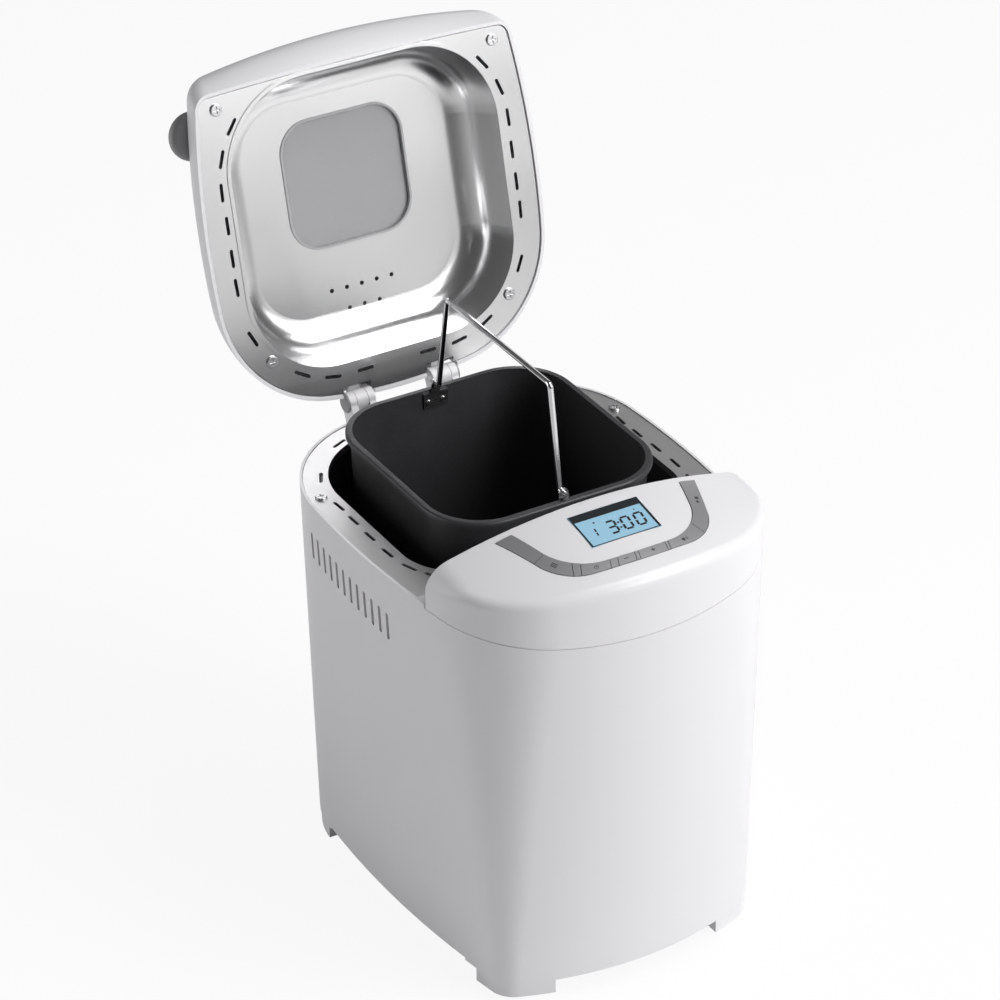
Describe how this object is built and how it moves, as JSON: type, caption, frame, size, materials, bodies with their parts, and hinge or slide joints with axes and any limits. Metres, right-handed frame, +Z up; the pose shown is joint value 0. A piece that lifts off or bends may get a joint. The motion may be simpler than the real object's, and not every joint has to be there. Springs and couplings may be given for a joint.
{
  "type": "bread machine",
  "caption": "Countertop bread machine with a hinged windowed lid, control panel with inlaid keys, oven chamber, lift-out kneading pan with bail, and belt drive.",
  "frame": {"origin": "on the table plane, under the kneading shaft at the middle of the oven", "axes": "+Z up, -Y towards the control panel at the front, +X to the right seen from the front"},
  "size_m": [0.2514, 0.4201, 0.5202],
  "materials": {
    "body_plastic": "glossy moulded white",
    "base_plastic": "moulded white underside",
    "foot_rubber": "grey-black rubber",
    "gland_plastic": "moulded bush",
    "panel_plastic": "glossy moulded white",
    "strip_silver": "silver lacquer",
    "key_plastic": "silver lacquer on plastic",
    "switch_plastic": "black switch",
    "board_green": "coated circuit board",
    "display_tray": "dark tray",
    "lcd_glass": "light blue display",
    "deck_steel": "satin pressed sheet",
    "screw_steel": "zinc-plated",
    "oven_steel": "dull coated sheet",
    "element_steel": "oxidised tube",
    "clip_steel": "spring steel",
    "sensor_steel": "turned steel",
    "pan_nonstick": "charcoal non-stick on aluminium",
    "pan_cast": "die-cast",
    "bushing_steel": "turned",
    "shaft_steel": "ground",
    "paddle_nonstick": "non-stick",
    "ear_steel": "stamped",
    "bail_chrome": "plated wire",
    "lid_plastic": "glossy moulded white",
    "liner_steel": "bright brushed sheet",
    "gasket_rubber": "silicone",
    "window_glass": "tinted pane",
    "lens_glass": "smoky lens",
    "grip_plastic": "grey moulding",
    "pin_steel": "ground",
    "frame_steel": "zinc sheet",
    "bearing_brass": "sintered",
    "coupler_alloy": "die-cast",
    "pulley_plastic": "moulded",
    "belt_rubber": "belt",
    "motor_steel": "lacquered can",
    "pulley_alloy": "turned",
    "capacitor_case": "case"
  },
  "bodies": {
    "body": {"body_shell": "body_plastic", "hinge_brackets": "body_plastic", "ledge_screws": "screw_steel", "base_plate": "base_plastic", "rubber_feet": "foot_rubber", "cord_gland": "gland_plastic", "control_housing": "panel_plastic", "strip_trim": "strip_silver", "tact_switches": "switch_plastic", "control_board": "board_green", "display_module": "display_tray", "lcd_window": "lcd_glass", "deck_plate": "deck_steel", "deck_screws": "screw_steel", "oven_chamber": "oven_steel", "heating_element": "element_steel", "element_clips": "clip_steel", "temp_sensor": "sensor_steel", "pan_clips": "clip_steel", "hinge_caps": "grip_plastic", "hinge_pins": "pin_steel", "support_frame": "frame_steel", "main_bearing": "bearing_brass", "motor_body": "motor_steel", "run_capacitor": "capacitor_case", "power_board": "board_green", "drive_belt": "belt_rubber"},
    "lid": {"lid_shell": "lid_plastic", "lid_liner": "liner_steel", "lid_screws": "screw_steel", "window_gasket": "gasket_rubber", "window_glass": "window_glass", "window_lens": "lens_glass", "lid_grips": "grip_plastic"},
    "pan": {"pan_shell": "pan_nonstick", "pan_foot": "pan_cast", "pan_bushing": "bushing_steel", "bail_clips": "ear_steel"},
    "bail": {"bail_handle": "bail_chrome"},
    "pan_spindle": {"pan_shaft": "shaft_steel"},
    "paddle": {"kneading_paddle": "paddle_nonstick"},
    "drive": {"drive_shaft": "shaft_steel", "drive_coupler": "coupler_alloy", "large_pulley": "pulley_plastic", "shaft_circlip": "clip_steel"},
    "motor_rotor": {"motor_shaft": "shaft_steel", "motor_pulley": "pulley_alloy"},
    "key_1_body": {"key_1": "key_plastic"},
    "key_2_body": {"key_2": "key_plastic"},
    "key_3_body": {"key_3": "key_plastic"},
    "key_4_body": {"key_4": "key_plastic"},
    "key_5_body": {"key_5": "key_plastic"},
    "start_key_body": {"start_key": "key_plastic"}
  },
  "joints": [
    {"name": "lid_hinge", "type": "hinge", "parent": "body", "child": "lid", "pos_m": [0, 0.1295, 0.2881], "axis": [-1, 0, 0], "range_deg": [-104.2, 0]},
    {"name": "pan_lift", "type": "slide", "parent": "body", "child": "pan", "axis": [0, 0, 1], "range_m": [0, 0.19]},
    {"name": "bail_fold", "type": "hinge", "parent": "pan", "child": "bail", "pos_m": [0, 0, 0.3141], "axis": [0, 1, 0], "range_deg": [0, 90]},
    {"name": "drive_spin", "type": "hinge", "parent": "body", "child": "drive", "pos_m": [0, 0, 0.045], "axis": [0, 0, 1], "continuous": true},
    {"name": "pan_shaft_spin", "type": "hinge", "parent": "pan", "child": "pan_spindle", "pos_m": [0, 0, 0.14], "axis": [0, 0, 1], "continuous": true},
    {"name": "motor_spin", "type": "hinge", "parent": "body", "child": "motor_rotor", "pos_m": [0, -0.143, 0.045], "axis": [0, 0, 1], "continuous": true},
    {"name": "paddle_lift", "type": "slide", "parent": "pan_spindle", "child": "paddle", "axis": [0, 0, 1], "range_m": [0, 0.03]},
    {"name": "key_1_press", "type": "slide", "parent": "body", "child": "key_1_body", "axis": [0, 0, -1], "range_m": [0, 0.0008], "stiffness_N_per_m": 500, "springref_m": -0.0006},
    {"name": "key_2_press", "type": "slide", "parent": "body", "child": "key_2_body", "axis": [0, 0, -1], "range_m": [0, 0.0008], "stiffness_N_per_m": 500, "springref_m": -0.0006},
    {"name": "key_3_press", "type": "slide", "parent": "body", "child": "key_3_body", "axis": [0, 0, -1], "range_m": [0, 0.0008], "stiffness_N_per_m": 500, "springref_m": -0.0006},
    {"name": "key_4_press", "type": "slide", "parent": "body", "child": "key_4_body", "axis": [0, 0, -1], "range_m": [0, 0.0008], "stiffness_N_per_m": 500, "springref_m": -0.0006},
    {"name": "key_5_press", "type": "slide", "parent": "body", "child": "key_5_body", "axis": [0, 0, -1], "range_m": [0, 0.0008], "stiffness_N_per_m": 500, "springref_m": -0.0006},
    {"name": "start_key_press", "type": "slide", "parent": "body", "child": "start_key_body", "axis": [0, 0, -1], "range_m": [0, 0.0008], "stiffness_N_per_m": 500, "springref_m": -0.0006}
  ],
  "couplings": [
    {"joint": "bail_fold", "follows": "lid_hinge", "ratio": -0.8637},
    {"joint": "pan_shaft_spin", "follows": "drive_spin", "ratio": 1},
    {"joint": "motor_spin", "follows": "drive_spin", "ratio": 5.3023}
  ]
}
